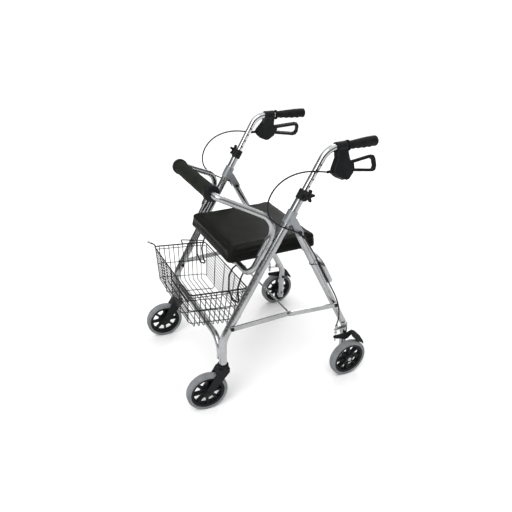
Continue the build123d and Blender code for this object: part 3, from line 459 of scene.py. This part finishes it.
def swell(piece, voxel, pressure, frames, cap, pinned):
    """Remeshes the piece and lets air pressure crown it; no point moves further than cap."""
    remesh = piece.modifiers.new("remesh", "REMESH")
    remesh.mode, remesh.voxel_size = "VOXEL", voxel
    apply_modifiers(piece)
    rest = [v.co.copy() for v in piece.data.vertices]
    group = piece.vertex_groups.new(name="held")
    group.add([k for k, p in enumerate(rest) if pinned(p)], 1.0, "REPLACE")
    cloth = piece.modifiers.new("cloth", "CLOTH")
    cloth.settings.quality = 5
    cloth.settings.use_pressure = True
    cloth.settings.uniform_pressure_force = pressure
    cloth.settings.effector_weights.gravity = 0.0
    cloth.settings.vertex_group_mass = "held"
    cloth.settings.tension_stiffness = cloth.settings.compression_stiffness = 12.0
    cloth.settings.bending_stiffness = 0.6
    for k in range(1, frames + 1):
        bpy.context.scene.frame_set(k)
    apply_modifiers(piece)
    bpy.context.scene.frame_set(1)
    for v, start in zip(piece.data.vertices, rest):
        move = v.co - start
        if move.length > cap:
            v.co = start + move.normalized() * cap


pad = make_cushion()
swell(pad, SEAT_VOXEL, SEAT_PRESSURE, SEAT_FRAMES, SEAT_CAP, lambda p: p.z < SEAT_LOW.z + HELD_HEIGHT)
divide = pad.modifiers.new("divide", "SUBSURF")
divide.levels = divide.render_levels = 1
apply_modifiers(pad)


def seam_groove(z):
    """How far the cover is drawn in at a height, by its welted side seam."""
    return SEAM_DEPTH * math.exp(-(((z - SEAM_Z) / SEAM_WIDTH) ** 2))


for v in pad.data.vertices:
    p = v.co - SEAT_CENTRE
    edge = max(abs(p.x) / SEAT_HALF.x, abs(p.y) / SEAT_HALF.y)
    if edge > 0.9:
        out = Vector((p.x, p.y, 0)).normalized()
        v.co -= out * seam_groove(v.co.z)
        # the stretched cover puckers a little beside its seam
        v.co += out * (PUCKER * noise.noise(v.co * 55.0))
    elif p.z > 0:
        # broad shallow hollows where people sit
        v.co.z -= HOLLOW * max(0.0, noise.noise(v.co * 9.0))
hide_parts("seat_cushion")
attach(pad, "seat")


# ---- backrest roller ------------------------------------------------------------------------------
FOAM_LOW, FOAM_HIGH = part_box("backrest_foam")
FOAM_AT = (FOAM_LOW + FOAM_HIGH) / 2
FOAM_R = (FOAM_HIGH.z - FOAM_LOW.z) / 2
FOAM_HALF = (FOAM_HIGH.x - FOAM_LOW.x) / 2
TUBE_R = 11 * MM
FOAM_ROUND, FOAM_DENT = 4 * MM, 0.9 * MM
END_CAP = 17 * MM                 # how far the black end caps reach over the foam
CAP_PROFILE = ((0.0, 24.8), (0.04, 26.6), (0.1, 27.0), (0.5, 27.2), (0.86, 26.6), (0.96, 25.4), (1.0, 23.6))


def make_foam():
    """A closed-cell sleeve, softly dented, with rounded ends."""
    bm = bmesh.new()
    rings, segments, steps = [], 72, 150
    profile = []
    for k in range(steps + 1):
        x = -FOAM_HALF + 2 * FOAM_HALF * k / steps
        end = max(0.0, (abs(x) - (FOAM_HALF - FOAM_ROUND)) / FOAM_ROUND)
        profile.append((x, FOAM_R - FOAM_ROUND * (1 - math.sqrt(max(0.0, 1 - end * end)))))
    profile = [(-FOAM_HALF + 1 * MM, TUBE_R + 0.3 * MM), *profile, (FOAM_HALF - 1 * MM, TUBE_R + 0.3 * MM)]
    for x, r in profile:
        ring = []
        for j in range(segments):
            a = 2 * math.pi * j / segments
            point = FOAM_AT + Vector((x, r * math.cos(a), r * math.sin(a)))
            if r > FOAM_R * 0.7:
                r_now = r + FOAM_DENT * noise.noise(point * 22.0) - FOAM_DENT
                point = FOAM_AT + Vector((x, r_now * math.cos(a), r_now * math.sin(a)))
            ring.append(bm.verts.new(point))
        rings.append(ring)
    for a, b in zip(rings, rings[1:]):
        for j in range(segments):
            bm.faces.new((a[j], a[(j + 1) % segments], b[(j + 1) % segments], b[j]))
    return new_piece("back_roller", bm, "foam_black")


roller = make_foam()
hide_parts("backrest_foam")
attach(roller, "frame")
for word, side in SIDES:
    ends = [((FOAM_AT.x + side * reach) / MM, FOAM_AT.y / MM, FOAM_AT.z / MM)
            for reach in (FOAM_HALF - END_CAP, FOAM_HALF + 1 * MM)]
    make_sleeve(f"{word}_roller_cap", ends, CAP_PROFILE, "black_plastic", "frame")


# ---- hand grips ----------------------------------------------------------------------------------------
TOE_IN = math.radians(6.0)
GRIP_Z = 0.900
CORNER = Vector((0.243, 0.12887, GRIP_Z))
GRIP_START, GRIP_END = 0.2065, 0.328


def grip_radius(d, length, angle):
    """The grip's radius at d along it; angle 0 is the top."""
    if d < 4.5 * MM:
        return 17.6 * MM
    t = (d - 4.5 * MM) / (length - 4.5 * MM)
    r = 12.9 * MM + 4.4 * MM * math.sin(math.pi * min(1.0, t * 0.6 + 0.02)) ** 1.4
    below = max(0.0, -math.cos(angle))
    r -= below * 1.8 * MM * (0.5 + 0.5 * math.cos(2 * math.pi * (d - 12 * MM) / (23 * MM)))
    across = abs(math.sin(angle))
    if 0.12 < t < 0.86 and across < 0.8 and math.cos(angle) > 0:
        r -= 0.45 * MM * (0.5 + 0.5 * math.cos(2 * math.pi * d / (4.0 * MM))) * (1 - across / 0.8)
    close = max(0.0, (d - (length - 5 * MM)) / (5 * MM))
    return r - 5 * MM * (1 - math.sqrt(max(0.0, 1 - close * close)))


def make_grip(word, side):
    along = Vector((-side * math.sin(TOE_IN), math.cos(TOE_IN), 0))
    corner = Vector((side * CORNER.x, CORNER.y, CORNER.z))
    start = corner + along * ((GRIP_START - corner.y) / along.y)
    length = (GRIP_END - GRIP_START) / along.y
    across = along.cross(Vector((0, 0, 1)))
    bm = bmesh.new()
    steps, segments, rings = 170, 48, []
    for k in range(-1, steps + 1):
        d = length * max(k, 0) / steps
        ring = []
        for j in range(segments):
            a = 2 * math.pi * j / segments
            r = TUBE_R + 0.2 * MM if k < 0 else grip_radius(d, length, a)
            point = start + along * d + Vector((0, 0, 1)) * (r * math.cos(a)) + across * (r * math.sin(a))
            ring.append(bm.verts.new(point))
        rings.append(ring)
    for a, b in zip(rings, rings[1:]):
        for j in range(segments):
            bm.faces.new((a[j], a[(j + 1) % segments], b[(j + 1) % segments], b[j]))
    bm.faces.new(rings[-1])
    grip = new_piece(f"{word}_grip", bm, "grip_rubber")
    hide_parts(f"{word}_hand_grip")
    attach(grip, f"{word}_handle")


for word, side in SIDES:
    make_grip(word, side)


# ---- floor, light and camera ---------------------------------------------------------------------------
def make_stage():
    bm = bmesh.new()
    bmesh.ops.create_grid(bm, x_segments=1, y_segments=1, size=60.0)
    mesh = bpy.data.meshes.new("floor")
    bm.to_mesh(mesh)
    bm.free()
    floor = bpy.data.objects.new("floor", mesh)
    bpy.context.scene.collection.objects.link(floor)
    look = bpy.data.materials.new("floor")
    look.use_nodes = True
    shader = look.node_tree.nodes["Principled BSDF"]
    shader.inputs["Base Color"].default_value = (0.93, 0.93, 0.93, 1.0)
    shader.inputs["Roughness"].default_value = 0.85
    mesh.materials.append(look)


def make_world():
    """An even pale studio; a darker band low down gives the metal its dark streaks."""
    world = bpy.data.worlds.new("studio")
    bpy.context.scene.world = world
    world.use_nodes = True
    tree = world.node_tree
    background = tree.nodes["Background"]
    place = tree.nodes.new("ShaderNodeTexCoord")
    split = tree.nodes.new("ShaderNodeSeparateXYZ")
    ramp = tree.nodes.new("ShaderNodeValToRGB")
    tree.links.new(place.outputs["Generated"], split.inputs["Vector"])
    tree.links.new(split.outputs["Z"], ramp.inputs["Fac"])
    marks = ((0.0, 0.04), (0.34, 0.10), (0.56, 0.60), (0.75, 1.0), (1.0, 1.0))
    for k, (at, level) in enumerate(marks):
        stop = ramp.color_ramp.elements[k] if k < 2 else ramp.color_ramp.elements.new(at)
        stop.position, stop.color = at, (level, level, level, 1.0)
    seen = tree.nodes.new("ShaderNodeLightPath")
    mix = tree.nodes.new("ShaderNodeMix")
    mix.data_type = "RGBA"
    tree.links.new(seen.outputs["Is Camera Ray"], mix.inputs["Factor"])
    tree.links.new(ramp.outputs["Color"], mix.inputs[6])
    mix.inputs[7].default_value = (0.78, 0.78, 0.78, 1.0)
    tree.links.new(mix.outputs[2], background.inputs["Color"])
    background.inputs["Strength"].default_value = 1.25


def add_area(name, at, target, size, power):
    lamp = bpy.data.lights.new(name, "AREA")
    lamp.shape, lamp.size, lamp.size_y, lamp.energy = "RECTANGLE", size[0], size[1], power
    piece = bpy.data.objects.new(name, lamp)
    bpy.context.scene.collection.objects.link(piece)
    piece.location = at
    piece.rotation_euler = (Vector(target) - Vector(at)).to_track_quat("-Z", "Y").to_euler()


def add_sun(at, strength, spread):
    lamp = bpy.data.lights.new("sun", "SUN")
    lamp.energy, lamp.angle = strength, math.radians(spread)
    piece = bpy.data.objects.new("sun", lamp)
    bpy.context.scene.collection.objects.link(piece)
    piece.rotation_euler = (-Vector(at)).to_track_quat("-Z", "Y").to_euler()


# the photograph's view: the direction from the object to the camera, and the camera's place in metres
CAMERA_BACK, CAMERA_AT = (0.80477, -0.36370, 0.46912), (1.5580, -0.7960, 1.3507)
CAMERA_ROLL, CAMERA_LENS, CAMERA_SHIFT = 0.31, 36.69, (0.0527, 0.0072)


def make_camera():
    back = Vector(CAMERA_BACK).normalized()
    roll = math.radians(CAMERA_ROLL)
    right = Vector((0, 0, 1)).cross(back).normalized()
    up = back.cross(right)
    right, up = (right * math.cos(roll) + up * math.sin(roll), up * math.cos(roll) - right * math.sin(roll))
    camera = bpy.data.cameras.new("camera")
    camera.lens, camera.sensor_width = CAMERA_LENS, 36.0
    camera.shift_x, camera.shift_y = CAMERA_SHIFT
    camera.clip_start, camera.clip_end = 0.05, 200.0
    piece = bpy.data.objects.new("camera", camera)
    bpy.context.scene.collection.objects.link(piece)
    turn = Matrix((right, up, back)).transposed().to_4x4()
    piece.matrix_world = Matrix.Translation(CAMERA_AT) @ turn
    bpy.context.scene.camera = piece


make_stage()
make_world()
add_sun((1.2, -1.5, 3.0), 1.0, 40.0)
add_area("key", (1.6, -2.2, 2.2), (0, 0, 0.5), (1.4, 1.4), 28.0)
add_area("rim", (-1.8, 1.6, 1.9), (0, 0, 0.5), (0.8, 1.6), 18.0)
make_camera()
bpy.context.scene.view_settings.view_transform = "Standard"
